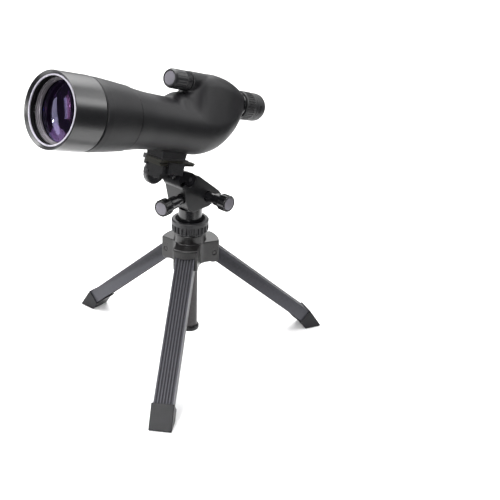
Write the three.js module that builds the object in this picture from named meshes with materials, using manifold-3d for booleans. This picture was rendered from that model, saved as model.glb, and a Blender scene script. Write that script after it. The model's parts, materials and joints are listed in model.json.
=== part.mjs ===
// Straight-view zoom spotting scope on a table-top tripod.
// Millimetres, +Z up. The parts are drawn with the centre column on the Z axis and the feet on
// z = 0, and the whole is moved at the end so that its bounding box is centred over the origin.
// The scope points towards -Y and upwards; its parts are drawn in a tilted frame whose y runs
// rearwards along the objective's axis from the front rim, with z upwards across that axis.
import * as THREE from "three";
import { mergeVertices } from "three/addons/utils/BufferGeometryUtils.js";
import Module from "manifold-3d";

const wasm = await Module();
wasm.setup();

// ---- Driving dimensions ----------------------------------------------------------------------
const GAP = 0.3;                    // running clearance between separate pieces
const FACET_SHARE = 0.54;           // share of the nominal facet counts that is built
const SCOPE_TILT = 17.4;            // degrees the scope points above the horizon
const RIM_Y = -194.3;               // centre of the front rim
const RIM_Z = 351.5;

const SHADE_R = 38.5;               // sunshade
const SHADE_LENGTH = 40.2;
const SHADE_BORE_R = 36.5;
const RIM_OPENING_R = 35.2;
const RIM_BEVEL = 3.0;

const TUBE_R = 35.9;                // objective tube under the sunshade
const TUBE_BORE_R = 33.3;
const TUBE_FRONT = 9.8;
const TUBE_REAR = 62;
const LENS_R = 32.9;
const CLEAR_R = 30.4;               // clear aperture, a 60 mm class objective

const BARREL_FRONT = 41.4;          // rubber-covered front barrel
const BARREL_REAR = 91.4;
const SEAM_R = 32.9;
const HOUSING_FRONT = 93.2;
const HOUSING_REAR = 270;
const WALL = 3;

const EYE_AXIS = 32.3;              // eyepiece axis above the objective axis
const EYE_R = 17;
const ZOOM_FRONT = 275;
const ZOOM_REAR = 293;
const CUP_REAR = 311.5;

const FOCUS_AXIS = 49.6;            // focus knob, pointing forwards above the front barrel
const FOCUS_R = 10.9;
const FOCUS_FRONT = 152.5;
const FOCUS_REAR = 179.6;

const FOOT_HALF_WIDTH = 12.6;       // mounting foot and quick-release plate
const FOOT_FRONT = 155.5;
const FOOT_REAR = 192.5;
const FOOT_BOTTOM = -36.4;
const PLATE_BOTTOM = -45;
const PLATE_REAR = 212;
const SCREW_S = 174;                // 1/4 inch screw through the plate into the foot
const SCREW_R = 3.1;

const PIVOT_S = 205.1;              // tilt pivot in the scope's frame
const PIVOT_T = -57.9;
const KNUCKLE_R = 8;
const HEAD_HALF_WIDTH = 16;
const LUG_HALF_WIDTH = 6.2;
const APRON_R = 14.9;               // front lip of the tilt block round the pivot
const PIN_R = 2.5;
const CLAMP_KNOB_S = 183.7;
const CLAMP_KNOB_T = -57.6;
const CLAMP_KNOB_R = 16;

const HEAD_BOTTOM = 192.8;          // pan base and head body
const NECK_R = 14.2;
const KNOB_R = 9.8;
const KNOB_LENGTH = 12;

const COLUMN_R = 9.6;               // centre column and its lock
const COLUMN_BOTTOM = 34;
const COLLAR_R = 22.1;
const COLLAR_BOTTOM = 162.2;
const COLLAR_TOP = 178;

const CROWN_R = 18.7;               // tripod hub
const CROWN_TOP = 161.8;
const EAR_TOP = 150;
const EAR_BOTTOM = 121;
const EAR_REACH = 35;               // the ears end on a circle of this radius
const EAR_HALF_WIDTH = 14.4;
const EAR_FILLET = 13.4;            // concave, from one ear's cheek round to the next one's

const LEG_COUNT = 3;                // legs
const FRONT_LEG_AZIMUTH = -55.7;
const LEG_SLOPE = 41.4;             // degrees below the horizon
const HINGE_R = 26;
const HINGE_Z = 134.5;
const LEG_HALF_WIDTH = 11.2;
const LEG_DEPTH = 16.6;
const LEG_WALL = 1.9;
const LEG_LENGTH = 178;
const LEG_RIBS = 6;

// ---- Helpers ---------------------------------------------------------------------------------
const rad = THREE.MathUtils.degToRad;

function toSolid(geometry) {
  const plain = geometry.clone();
  plain.deleteAttribute("normal");
  plain.deleteAttribute("uv");
  const merged = mergeVertices(plain, 1e-4);
  const triVerts = new Uint32Array(merged.index.array);
  const p = merged.attributes.position;
  let volume = 0;
  const a = new THREE.Vector3();
  const b = new THREE.Vector3();
  const c = new THREE.Vector3();
  for (let i = 0; i < triVerts.length; i += 3) {
    a.fromBufferAttribute(p, triVerts[i]);
    b.fromBufferAttribute(p, triVerts[i + 1]);
    c.fromBufferAttribute(p, triVerts[i + 2]);
    volume += a.dot(b.cross(c));
  }
  if (volume < 0) {
    for (let i = 0; i < triVerts.length; i += 3) {
      const keep = triVerts[i + 1];
      triVerts[i + 1] = triVerts[i + 2];
      triVerts[i + 2] = keep;
    }
  }
  return new wasm.Manifold(new wasm.Mesh({
    numProp: 3,
    vertProperties: new Float32Array(p.array),
    triVerts,
  }));
}

function toGeometry(solid) {
  const mesh = solid.getMesh();
  const geometry = new THREE.BufferGeometry();
  geometry.setAttribute("position", new THREE.BufferAttribute(new Float32Array(mesh.vertProperties), 3));
  geometry.setIndex(new THREE.BufferAttribute(new Uint32Array(mesh.triVerts), 1));
  geometry.computeVertexNormals();
  return geometry;
}

const union = (solids) => solids.reduce((sum, next) => sum.add(next));
const cut = (solid, tools) => tools.reduce((rest, tool) => rest.subtract(tool), solid);

// Turned piece about local y. The profile lists [radius, station] corners.
function turned(profile, segments = 64) {
  const points = profile.map(([r, y]) => new THREE.Vector2(r, y));
  if (profile[0][0] > 0) {
    points.push(points[0].clone());
  }
  return toSolid(new THREE.LatheGeometry(points, 4 * Math.round(segments * FACET_SHARE / 4)));
}

const ring = (outer, inner, y0, y1, segments) =>
  turned([[inner, y0], [outer, y0], [outer, y1], [inner, y1]], segments);

const rod = (r, y0, y1, segments = 32) =>
  turned([[0, y0], [r, y0], [r, y1], [0, y1]], segments);

function block(x0, x1, y0, y1, z0, z1) {
  const geometry = new THREE.BoxGeometry(x1 - x0, y1 - y0, z1 - z0);
  geometry.translate((x0 + x1) / 2, (y0 + y1) / 2, (z0 + z1) / 2);
  return toSolid(geometry);
}

// Turns an extruded (x, y) outline into a (y, z) outline extruded along x.
const UPRIGHT_BASIS = new THREE.Matrix4().makeBasis(
  new THREE.Vector3(0, 1, 0), new THREE.Vector3(0, 0, 1), new THREE.Vector3(1, 0, 0));

// Side profile in (y, z), given a width along x.
function slab(outline, x0, x1) {
  const shape = new THREE.Shape(outline.map(([y, z]) => new THREE.Vector2(y, z)));
  const geometry = new THREE.ExtrudeGeometry(shape, { depth: x1 - x0, bevelEnabled: false });
  return toSolid(geometry.applyMatrix4(UPRIGHT_BASIS).translate(x0, 0, 0));
}

// Points on an arc in the (y, z) plane.
function arc(centre, radius, from, to, steps) {
  const points = [];
  for (let i = 0; i <= steps; i++) {
    const angle = rad(from + (to - from) * i / steps);
    points.push([centre[0] + radius * Math.cos(angle), centre[1] + radius * Math.sin(angle)]);
  }
  return points;
}

// Wheel outline about local y whose radius is given as a function of angle.
function fluted(radiusAt, count, y0, y1) {
  const points = [];
  for (let i = 0; i < count; i++) {
    const angle = 2 * Math.PI * i / count;
    const r = radiusAt(i, angle);
    points.push(new THREE.Vector2(r * Math.cos(angle), r * Math.sin(angle)));
  }
  const shape = new THREE.Shape(points);
  const geometry = new THREE.ExtrudeGeometry(shape, { depth: y1 - y0, bevelEnabled: false });
  geometry.rotateX(Math.PI / 2);
  geometry.translate(0, y1, 0);
  return toSolid(geometry);
}

// Smooth curve y(x) through the given points that never overshoots between them.
function smoothCurve(points) {
  const last = points.length - 1;
  const step = (i) => points[i + 1][0] - points[i][0];
  const slope = (i) => (points[i + 1][1] - points[i][1]) / step(i);
  const tangent = points.map((point, i) => {
    if (i === 0 || i === last) {
      return slope(Math.min(i, last - 1));
    }
    const before = slope(i - 1);
    const after = slope(i);
    return before * after <= 0 ? 0 : 2 * before * after / (before + after);
  });
  return (x) => {
    let i = 0;
    while (i < last - 1 && x > points[i + 1][0]) {
      i += 1;
    }
    const t = (x - points[i][0]) / step(i);
    const rise = points[i + 1][1] - points[i][1];
    const bend = step(i) * (tangent[i] * t * (1 - t) ** 2 - tangent[i + 1] * t * t * (1 - t));
    return points[i][1] + rise * t * t * (3 - 2 * t) + bend;
  };
}

const ribWave = (outer, depth) => (i) => (i % 4 < 2 ? outer : outer - depth);
const alongX = (solid) => solid.rotate([0, 0, -90]);
const alongZ = (solid) => solid.rotate([-90, 0, 0]);
const moved = (solid, x, y, z) => solid.translate([x, y, z]);

function material(colour, roughness, metalness = 0, opacity = 1) {
  return new THREE.MeshStandardMaterial({
    color: colour, roughness, metalness, opacity, transparent: opacity < 1,
  });
}

const paint = {
  shade: () => material(0x2b2b2e, 0.38, 0.5),
  brightRing: () => material(0xa9a8b0, 0.3, 0.8),
  armour: () => material(0x2c2c2f, 0.8),
  black: () => material(0x141416, 0.45),
  gloss: () => material(0x0c0c0e, 0.15),
  plastic: () => material(0x232325, 0.5),
  satin: () => material(0x3c3c3f, 0.45),
  cap: () => material(0x8b8a93, 0.4, 0.3),
  metal: () => material(0x9a9a9e, 0.35, 0.9),
  brass: () => material(0xb08d4a, 0.35, 0.9),
  leg: () => material(0x3a3a3d, 0.42, 0.4),
  rubber: () => material(0x242426, 0.85),
  glass: () => material(0x2a2048, 0.05, 0, 0.35),
};

const root = new THREE.Group();
root.name = "spotting_scope";
const scope = new THREE.Group();
scope.name = "scope_frame";
scope.position.set(0, RIM_Y, RIM_Z);
scope.rotation.x = -rad(SCOPE_TILT);
root.add(scope);

function piece(parent, name, solid, look) {
  const mesh = new THREE.Mesh(toGeometry(solid), look);
  mesh.name = name;
  parent.add(mesh);
  return mesh;
}

// ---- Sunshade and objective ------------------------------------------------------------------
piece(scope, "sunshade", turned([
  [SHADE_R, 0.5],
  [SHADE_R - 0.5, 0],
  [RIM_OPENING_R, RIM_BEVEL],
  [RIM_OPENING_R, 8.6],
  [SHADE_BORE_R, 9.2],
  [SHADE_BORE_R, SHADE_LENGTH],
  [SHADE_R - 0.4, SHADE_LENGTH],
  [SHADE_R, SHADE_LENGTH - 0.5],
], 88), paint.shade());

const trimOuter = RIM_OPENING_R - GAP;
piece(scope, "sunshade_trim_ring", turned([
  [trimOuter, 2.6],
  [trimOuter - 0.4, 2.3],
  [trimOuter - 1.5, 3.4],
  [trimOuter - 1.5, 8.4],
  [trimOuter, 8.4],
], 80), paint.brightRing());

piece(scope, "objective_tube", turned([
  [TUBE_R, TUBE_FRONT + 0.4],
  [TUBE_R - 0.4, TUBE_FRONT],
  [TUBE_BORE_R, TUBE_FRONT],
  [TUBE_BORE_R, 33],
  [30.5, 34],
  [30.5, TUBE_REAR],
  [TUBE_R, TUBE_REAR],
], 64), paint.black());

piece(scope, "objective_retaining_ring", turned([
  [TUBE_BORE_R - GAP, 10.2],
  [32.2, 10.2],
  [32.0, 11.6],
  [31.1, 11.8],
  [30.6, 13.6],
  [CLEAR_R, 15.9],
  [TUBE_BORE_R - GAP, 15.9],
], 64), paint.black());

// Spherical lens surface as [radius, station] points from the axis to the rim.
function lensCurve(edgeStation, apexStation, radius, steps) {
  const points = [];
  for (let i = 0; i <= steps; i++) {
    const r = radius * i / steps;
    points.push([r, apexStation + (edgeStation - apexStation) * (i / steps) ** 2]);
  }
  return points;
}

piece(scope, "objective_front_lens", turned([
  ...lensCurve(16.9, 14, LENS_R, 6),
  ...lensCurve(18.6, 20.6, LENS_R, 5).reverse(),
], 48), paint.glass());

piece(scope, "objective_spacer_ring", ring(LENS_R, CLEAR_R, 18.9, 20.4, 48), paint.black());

piece(scope, "objective_rear_lens", turned([
  ...lensCurve(20.7, 21.4, LENS_R, 4),
  [LENS_R, 25.2],
  [0, 25.2],
], 48), paint.glass());

// ---- Front barrel, seam ring and prism housing -------------------------------------------------
piece(scope, "front_barrel", turned([
  [TUBE_R + GAP, BARREL_FRONT],
  [37.9, BARREL_FRONT],
  [38.2, 42.2],
  [37.9, 50],
  [37.2, 60],
  [36.2, 72],
  [35.2, 84],
  [34.7, BARREL_REAR],
  [31, BARREL_REAR],
  [31, TUBE_REAR + GAP],
  [TUBE_R + GAP, TUBE_REAR + GAP],
], 80), paint.armour());

const seamRing = ring(SEAM_R, 30.8, BARREL_REAR + GAP, HOUSING_FRONT - GAP, 64);
piece(scope, "barrel_seam_ring", seamRing, paint.black());

// The housing's section is the outline stretched over two round forms, so it grows from a round
// tube into an egg shape: the belly, an ellipse about the light path, and the ridge, a circle
// that rises behind the focus knob and comes down to the eyepiece.
const BELLY_CENTRE = smoothCurve([
  [HOUSING_FRONT, 0], [205, 0], [213, 1], [226, 4], [248, 13.5], [262, 23], [268.4, 29],
  [HOUSING_REAR, EYE_AXIS],
]);
const BELLY_HALF_WIDTH = smoothCurve([
  [HOUSING_FRONT, 33.7], [122, 31.4], [150, 31], [207, 33.7], [226, 32.8], [248, 27.4], [262, 20.8],
  [HOUSING_REAR, 15.4],
]);
const BELLY_HALF_HEIGHT = smoothCurve([
  [HOUSING_FRONT, 33.7], [122, 30.6], [155, 29.4], [213, 31.6], [226, 31], [248, 25.6], [262, 18.6],
  [HOUSING_REAR, 14.4],
]);
const RIDGE_CENTRE = smoothCurve([
  [HOUSING_FRONT, 0], [152, 0], [160, 2], [170, 15.4], [180.4, 20.4], [192, 36.6], [201, 42], [213, 42.8],
  [238, 39.4], [262, 34.8], [HOUSING_REAR, EYE_AXIS],
]);
const RIDGE_RADIUS = smoothCurve([
  [HOUSING_FRONT, 33.7], [122, 30.6], [150, 29.4], [160, 27.4], [170, 20.6], [180.4, 17.6], [192, 16.6],
  [213, 18.2], [238, 20], [262, 17.6], [HOUSING_REAR, 15.2],
]);
// Sections stand closer together where the form turns quickly.
const HOUSING_Y = [
  HOUSING_FRONT, 106, 122, 142, 160, 165, 170, 176, 180.4, 185, 192, 201, 213, 226, 238, 248, 256,
  262, 266, 268.8, HOUSING_REAR,
];
const HOUSING_STATIONS = HOUSING_Y.map((y) => {
  const ridge = RIDGE_RADIUS(y);
  return [y, BELLY_CENTRE(y), BELLY_HALF_WIDTH(y), BELLY_HALF_HEIGHT(y), RIDGE_CENTRE(y), ridge, ridge];
});

function support(centre, halfWidth, halfHeight, nx, nz) {
  const length = Math.hypot(halfWidth * nx, halfHeight * nz);
  const x = halfWidth * halfWidth * nx / length;
  const z = centre + halfHeight * halfHeight * nz / length;
  return [x, z, length + nz * centre];
}

function loft(stations, count, inset) {
  const positions = [];
  const index = [];
  const rows = stations.length;
  for (const [y, c1, w1, h1, c2, w2, h2] of stations) {
    for (let i = 0; i < count; i++) {
      const angle = 2 * Math.PI * i / count;
      const nx = Math.cos(angle);
      const nz = Math.sin(angle);
      const low = support(c1, w1 - inset, h1 - inset, nx, nz);
      const high = support(c2, w2 - inset, h2 - inset, nx, nz);
      const pick = high[2] > low[2] ? high : low;
      positions.push(pick[0], y, pick[1]);
    }
  }
  for (let row = 0; row + 1 < rows; row++) {
    for (let i = 0; i < count; i++) {
      const a = row * count + i;
      const b = row * count + (i + 1) % count;
      index.push(a, b, a + count, b, b + count, a + count);
    }
  }
  for (const [row, flip] of [[0, false], [rows - 1, true]]) {
    const [y, c1, , , c2] = stations[row];
    positions.push(0, y, (c1 + c2) / 2);
    const hub = positions.length / 3 - 1;
    for (let i = 0; i < count; i++) {
      const a = row * count + i;
      const b = row * count + (i + 1) % count;
      index.push(...(flip ? [hub, a, b] : [hub, b, a]));
    }
  }
  const geometry = new THREE.BufferGeometry();
  geometry.setAttribute("position", new THREE.Float32BufferAttribute(positions, 3));
  geometry.setIndex(index);
  return toSolid(geometry);
}

const hollowStations = HOUSING_STATIONS
  .filter((station, i) => i % 2 === 0 && station[0] < HOUSING_REAR - WALL)
  .map((station) => [...station]);
hollowStations[0][0] = HOUSING_FRONT - 1;
const focusBoss = moved(rod(FOCUS_R + 0.5, FOCUS_REAR + 1.8, 222, 40), 0, 0, FOCUS_AXIS);
const housingShell = union([loft(HOUSING_STATIONS, 44, 0), focusBoss]);
const housing = cut(housingShell, [
  loft(hollowStations, 24, WALL),
  moved(rod(13.1, 255, HOUSING_REAR + 1, 40), 0, 0, EYE_AXIS),
  moved(rod(3.6, 175, 230, 24), 0, 0, FOCUS_AXIS),
]);
piece(scope, "prism_housing", housing, paint.armour());

// ---- Focus control -----------------------------------------------------------------------------
const focus = new THREE.Group();
focus.name = "focus_axis";
focus.position.z = FOCUS_AXIS;
scope.add(focus);

const knobBody = cut(union([
  rod(FOCUS_R - 1, FOCUS_FRONT, FOCUS_FRONT + 6, 40),
  turned([
    [0, FOCUS_FRONT + 1],
    [FOCUS_R, FOCUS_FRONT + 2.4],
    [FOCUS_R, FOCUS_REAR - 9],
    [0, FOCUS_REAR - 9],
  ], 48),
  fluted(ribWave(FOCUS_R, 0.6), 88, FOCUS_REAR - 9, FOCUS_REAR),
]), [
  rod(7.8, FOCUS_FRONT - 1, FOCUS_FRONT + 1.2, 40),
  rod(2.9, FOCUS_FRONT, FOCUS_REAR + 1, 24),
]);
piece(focus, "focus_knob", knobBody, paint.plastic());
piece(focus, "focus_knob_cap", rod(7.5, FOCUS_FRONT + 0.1, FOCUS_FRONT + 0.9, 40), paint.cap());
const sealRing = ring(FOCUS_R - 1.4, 3.2, FOCUS_REAR + GAP, FOCUS_REAR + 1.5, 40);
piece(focus, "focus_seal_ring", sealRing, paint.gloss());
piece(focus, "focus_screw", rod(2.6, FOCUS_FRONT + 1.5, 231, 24), paint.metal());

const carriage = cut(union([
  block(-14, 14, 233, 236, -11, 44),
  moved(ring(4.8, 2.9, 225, 236, 24), 0, 0, FOCUS_AXIS),
  block(-4.5, 4.5, 233, 236, 40, 52),
]), [
  moved(rod(11, 230, 240, 32), 0, 0, 2),
  moved(rod(9, 230, 240, 32), 0, 0, EYE_AXIS),
  moved(rod(2.9, 220, 240, 24), 0, 0, FOCUS_AXIS),
]);
piece(scope, "prism_carriage", carriage, paint.black());

// Right-angle prism with its long face square to the light path.
const prism = (y, direction, t0, t1, halfWidth) => slab([
  [y, t0],
  [y + direction * (t1 - t0) / 2, (t0 + t1) / 2],
  [y, t1],
], -halfWidth, halfWidth);
piece(scope, "porro_prism_rear", prism(236 + GAP, 1, -12, 32, 11), paint.glass());
piece(scope, "porro_prism_front", prism(233 - GAP, -1, 2, 40, 10), paint.glass());

// ---- Eyepiece ----------------------------------------------------------------------------------
const eye = new THREE.Group();
eye.name = "eyepiece_axis";
eye.position.z = EYE_AXIS;
scope.add(eye);

piece(eye, "eyepiece_socket", turned([
  [12.8, 262],
  [9.8, 262],
  [9.8, ZOOM_FRONT - GAP],
  [15.6, ZOOM_FRONT - GAP],
  [15.6, HOUSING_REAR + GAP],
  [12.8, HOUSING_REAR + GAP],
], 56), paint.gloss());

piece(eye, "eyepiece_barrel", turned([
  [9.5, 258],
  [8.2, 258],
  [8.2, 300],
  [13.4, 300],
  [13.4, 280],
  [9.5, 280],
], 48), paint.black());

const zoomRing = cut(union([
  fluted(ribWave(EYE_R, 0.7), 120, ZOOM_FRONT + 2.2, ZOOM_REAR - 3.2),
  ring(EYE_R - 0.2, 13, ZOOM_FRONT, ZOOM_FRONT + 2.6, 56),
  ring(EYE_R - 0.1, 13, ZOOM_REAR - 3.6, ZOOM_REAR, 56),
]), [
  rod(13.7, ZOOM_FRONT + 3, ZOOM_REAR + 1, 48),
  rod(9.8, ZOOM_FRONT - 1, ZOOM_FRONT + 4, 48),
]);
piece(eye, "zoom_ring", zoomRing, paint.rubber());

const smallLens = (r, y0, y1) => turned([[0, y0], [r, y0 + 1], [r, y1 - 1], [0, y1]], 32);
piece(eye, "zoom_front_lens_group", smallLens(7.6, 262.6, 267.8), paint.glass());
piece(eye, "zoom_rear_lens_group", smallLens(7.6, 283.2, 288.2), paint.glass());
piece(eye, "eye_lens", turned([
  ...lensCurve(304.4, 305.2, 11.2, 4).reverse(),
  [0, 300.8],
  [11.2, 301.4],
].reverse(), 40), paint.glass());
piece(eye, "eye_lens_ring", turned([
  [11.5, 300.4],
  [13.4, 300.4],
  [13.4, 306],
  [10.2, 306],
  [10.2, 305],
  [11.5, 304.8],
], 48), paint.black());
piece(eye, "eyecup", turned([
  [13.8, ZOOM_REAR + GAP],
  [16.4, ZOOM_REAR + GAP],
  [16.8, ZOOM_REAR + 1],
  [16.8, 304],
  [16.4, 307.4],
  [15.2, 310.2],
  [13.4, CUP_REAR],
  [11.6, CUP_REAR],
  [10.9, 310.4],
  [11.2, 307],
  [13.8, 306.4],
], 64), paint.rubber());

// ---- Foot, quick-release plate and screw ---------------------------------------------------------
const footTop = -26;
const foot = cut(slab([
  [FOOT_FRONT, FOOT_BOTTOM],
  [FOOT_REAR, FOOT_BOTTOM],
  [FOOT_REAR + 1.5, footTop],
  [FOOT_FRONT - 1.5, footTop],
], -FOOT_HALF_WIDTH, FOOT_HALF_WIDTH), [
  loft(HOUSING_STATIONS, 44, -GAP),
  alongZ(rod(5.9, 0, 60, 32)).translate([0, SCREW_S, 0]),
]);
piece(scope, "mount_foot", foot, paint.plastic());
const insertTop = FOOT_BOTTOM + 5.4;
const insertRing = alongZ(ring(5.6, SCREW_R + GAP, -insertTop, -FOOT_BOTTOM - 0.2, 32));
piece(scope, "thread_insert", moved(insertRing, 0, SCREW_S, 0), paint.brass());

const padTop = FOOT_BOTTOM - GAP;
const padBottom = padTop - 1.5;
piece(scope, "plate_pad", cut(
  block(-FOOT_HALF_WIDTH + 0.4, FOOT_HALF_WIDTH - 0.4, FOOT_FRONT + 0.4, FOOT_REAR + 6, padBottom, padTop),
  [alongZ(rod(4, 0, 60, 24)).translate([0, SCREW_S, 0])],
), paint.rubber());

const plateTop = padBottom - GAP;
const plateOutline = [
  [FOOT_FRONT - 0.6, PLATE_BOTTOM],
  [PLATE_REAR - 1.5, PLATE_BOTTOM + 1.6],
  [PLATE_REAR, PLATE_BOTTOM + 2.6],
  [PLATE_REAR, PLATE_BOTTOM + 4.8],
  [PLATE_REAR - 7, plateTop],
  [FOOT_FRONT - 0.6, plateTop],
];
const plateHalf = FOOT_HALF_WIDTH - 0.2;
const jawGroove = (side) => block(
  side > 0 ? plateHalf - 2 : -plateHalf - 1, side > 0 ? plateHalf + 1 : -plateHalf + 2,
  FOOT_FRONT - 3, PLATE_REAR + 3, PLATE_BOTTOM + 1.8, PLATE_BOTTOM + 4.2);
piece(scope, "quick_release_plate", cut(slab(plateOutline, -plateHalf, plateHalf), [
  jawGroove(-1),
  jawGroove(1),
  alongZ(rod(3.5, 0, 60, 24)).translate([0, SCREW_S, 0]),
  alongZ(rod(8.4, -PLATE_BOTTOM - 3.4, -PLATE_BOTTOM + 2, 32)).translate([0, SCREW_S, 0]),
]), paint.satin());
piece(scope, "plate_screw", union([
  rod(SCREW_R, -insertTop + 0.5, -PLATE_BOTTOM - 2, 24),
  rod(8, -PLATE_BOTTOM - 3.1, -PLATE_BOTTOM - 0.4, 32),
].map((solid) => alongZ(solid).translate([0, SCREW_S, 0]))), paint.metal());

// ---- Clamp and tilt block ------------------------------------------------------------------------
const clampTop = PLATE_BOTTOM - GAP;
const clampFloor = clampTop - 8.6;
const clampRear = 190.6;
const clampSolid = cut(union([
  block(-12.2, 12.8, 159, clampRear, clampFloor, clampTop),
  block(plateHalf + GAP, 15.4, 166, clampRear, clampFloor, PLATE_BOTTOM + 4.6),
  block(plateHalf - 1.6, plateHalf + 1, 166, clampRear, PLATE_BOTTOM + 2.1, PLATE_BOTTOM + 3.9),
  block(-9, 9, 161, 186.8, clampFloor - 6.4, clampFloor + 1),
]), [
  block(-20, -6, 163, 178, clampFloor - 7, clampFloor - 1.6),
  block(6, 20, 163, 178, clampFloor - 7, clampFloor - 1.6),
  moved(alongX(rod(2.75, -30, 9.5, 24)), 0, CLAMP_KNOB_S, CLAMP_KNOB_T),
]);
piece(scope, "clamp_base", clampSolid, paint.black());

const jawSolid = cut(union([
  slab([
    [164, clampTop - 3],
    [CLAMP_KNOB_S - 6.8, CLAMP_KNOB_T - 7],
    [CLAMP_KNOB_S + 6, CLAMP_KNOB_T - 7],
    [clampRear + 2, clampTop - 8],
    [clampRear + 2, PLATE_BOTTOM + 4.6],
    [FOOT_FRONT + 1, PLATE_BOTTOM + 4.6],
    [FOOT_FRONT + 1, clampTop - 3],
  ], -15.4, -12.7),
  block(-18, -12.7, FOOT_FRONT + 0.6, clampRear + 2, PLATE_BOTTOM + 2.6, FOOT_BOTTOM - 0.6),
  block(-13, -plateHalf + 1.6, FOOT_FRONT + 1, clampRear + 2, PLATE_BOTTOM + 2.1, PLATE_BOTTOM + 3.9),
]), [
  moved(alongX(rod(3.4, -30, 0, 24)), 0, CLAMP_KNOB_S, CLAMP_KNOB_T),
]);
piece(scope, "clamp_jaw", jawSolid, paint.satin());

const GROOVES = 10;
const grooveWave = (i) => (i % 10 === 0 ? CLAMP_KNOB_R - 1.3 : CLAMP_KNOB_R);
const clampKnob = cut(union([
  fluted(grooveWave, GROOVES * 10, -26, -18.2),
  rod(7, -19, -15.8, 32),
]), [
  ring(11.8, 7.4, -20.6, -17, 36),
  rod(2.7, -23, -10, 24),
]);
piece(scope, "clamp_knob", moved(alongX(clampKnob), 0, CLAMP_KNOB_S, CLAMP_KNOB_T), paint.plastic());
const clampScrew = alongX(rod(2.4, -22.6, 8, 24));
piece(scope, "clamp_screw", moved(clampScrew, 0, CLAMP_KNOB_S, CLAMP_KNOB_T), paint.metal());

const pivot = [PIVOT_S, PIVOT_T];
const apron = (radius, angle) => arc(pivot, radius, SCOPE_TILT + angle, SCOPE_TILT + angle, 1)[0];
const tiltProfile = [
  ...arc(pivot, KNUCKLE_R, SCOPE_TILT - 180, 86, 16),
  [clampRear + 0.4, PIVOT_T + KNUCKLE_R + 1],
  [clampRear + 0.4, clampFloor - GAP],
  [187.2, clampFloor - GAP],
  [187.2, PIVOT_T - 3],
  apron(17.4, 188),
  apron(16.4, 195),
  apron(APRON_R, 195),
  apron(APRON_R, 187.5),
  apron(APRON_R, 180),
];
const knuckleGap = rod(KNUCKLE_R + 0.9, -LUG_HALF_WIDTH - 0.4, LUG_HALF_WIDTH + 0.4, 40);
const tiltBlock = cut(slab(tiltProfile, -HEAD_HALF_WIDTH + 0.2, HEAD_HALF_WIDTH - 0.2), [
  moved(alongX(knuckleGap), 0, PIVOT_S, PIVOT_T),
  moved(alongX(rod(PIN_R + GAP, -30, 30, 24)), 0, PIVOT_S, PIVOT_T),
  block(-20, -12.3, 180, clampRear + 2.4, -80, -40),
]);
piece(scope, "tilt_block", tiltBlock, paint.satin());
const tiltPin = alongX(rod(PIN_R, -HEAD_HALF_WIDTH + 0.6, HEAD_HALF_WIDTH - 0.6, 24));
piece(scope, "tilt_pin", moved(tiltPin, 0, PIVOT_S, PIVOT_T), paint.metal());

// ---- Head body, pan base and lock knobs -----------------------------------------------------------
const tilt = rad(SCOPE_TILT);
const PIVOT_Y = RIM_Y + PIVOT_S * Math.cos(tilt) + PIVOT_T * Math.sin(tilt);
const PIVOT_Z = RIM_Z - PIVOT_S * Math.sin(tilt) + PIVOT_T * Math.cos(tilt);
const pivotWorld = [PIVOT_Y, PIVOT_Z];
const seatR = KNUCKLE_R + 0.8;
const bodyProfile = [
  [-12, HEAD_BOTTOM],
  [14, HEAD_BOTTOM],
  [36.5, 199.4],
  [36.5, 203],
  [32, 208.6],
  [PIVOT_Y + 14.6, PIVOT_Z + 0.6],
  [PIVOT_Y + 11, PIVOT_Z + 1.6],
  ...arc(pivotWorld, seatR, 6, -150, 10),
  ...arc(pivotWorld, 14.4, 204, 226, 4),
  [-21.6, 205],
  [-19.2, 199],
];
const lug = alongX(rod(KNUCKLE_R - 0.2, -LUG_HALF_WIDTH, LUG_HALF_WIDTH, 40)).translate([0, ...pivotWorld]);
const bodySolid = cut(union([
  slab(bodyProfile, -HEAD_HALF_WIDTH, HEAD_HALF_WIDTH),
  lug,
  slab([
    [PIVOT_Y - 7.4, PIVOT_Z],
    [PIVOT_Y - 7.4, PIVOT_Z - 14],
    [PIVOT_Y + 7.4, PIVOT_Z - 14],
    [PIVOT_Y + 7.4, PIVOT_Z],
  ], -LUG_HALF_WIDTH, LUG_HALF_WIDTH),
]), [
  alongX(rod(PIN_R + GAP, -30, 30, 24)).translate([0, ...pivotWorld]),
]);

const PAN_KNOB = { x: 7.5, y: -21, z: 211, turn: 7 };
const TILT_KNOB = { x: HEAD_HALF_WIDTH, y: 12.7, z: 206.8, turn: 90 };
const lockBore = (at) => [rod(2.9, -8, 10, 24), rod(6.1, -12, 3, 32)]
  .map((solid) => solid.rotate([0, 0, at.turn]).translate([at.x, at.y, at.z]));
// Lock knob pointing along local -y from the origin, with its stem, end disc and screw.
function lockKnob(prefix, parent, standOff) {
  const end = -standOff - KNOB_LENGTH;
  const flutes = (i, angle) => KNOB_R - 0.45 + 0.45 * Math.cos(14 * angle);
  const knob = cut(union([
    fluted(flutes, 56, end, -standOff),
    turned([
      [0, -standOff - 1],
      [8, -standOff - 1],
      [7.4, -standOff + 3],
      [7.1, -13.2],
      [5.6, -12.4],
      [5.6, 2.6],
      [0, 2.6],
    ], 32),
  ]), [
    rod(7.6, end - 1, end + 1.2, 40),
    rod(2.8, end, 3, 24),
  ]);
  piece(parent, `${prefix}_knob`, knob, paint.plastic());
  piece(parent, `${prefix}_knob_cap`, rod(7.3, end - 0.1, end + 0.9, 40), paint.cap());
  piece(parent, `${prefix}_screw`, rod(2.5, end + 1.6, 9, 24), paint.metal());
}

const panAxis = new THREE.Group();
panAxis.name = "pan_knob_axis";
panAxis.position.set(PAN_KNOB.x, PAN_KNOB.y, PAN_KNOB.z);
panAxis.rotation.z = rad(PAN_KNOB.turn);
root.add(panAxis);
lockKnob("pan_lock", panAxis, 27);

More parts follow.
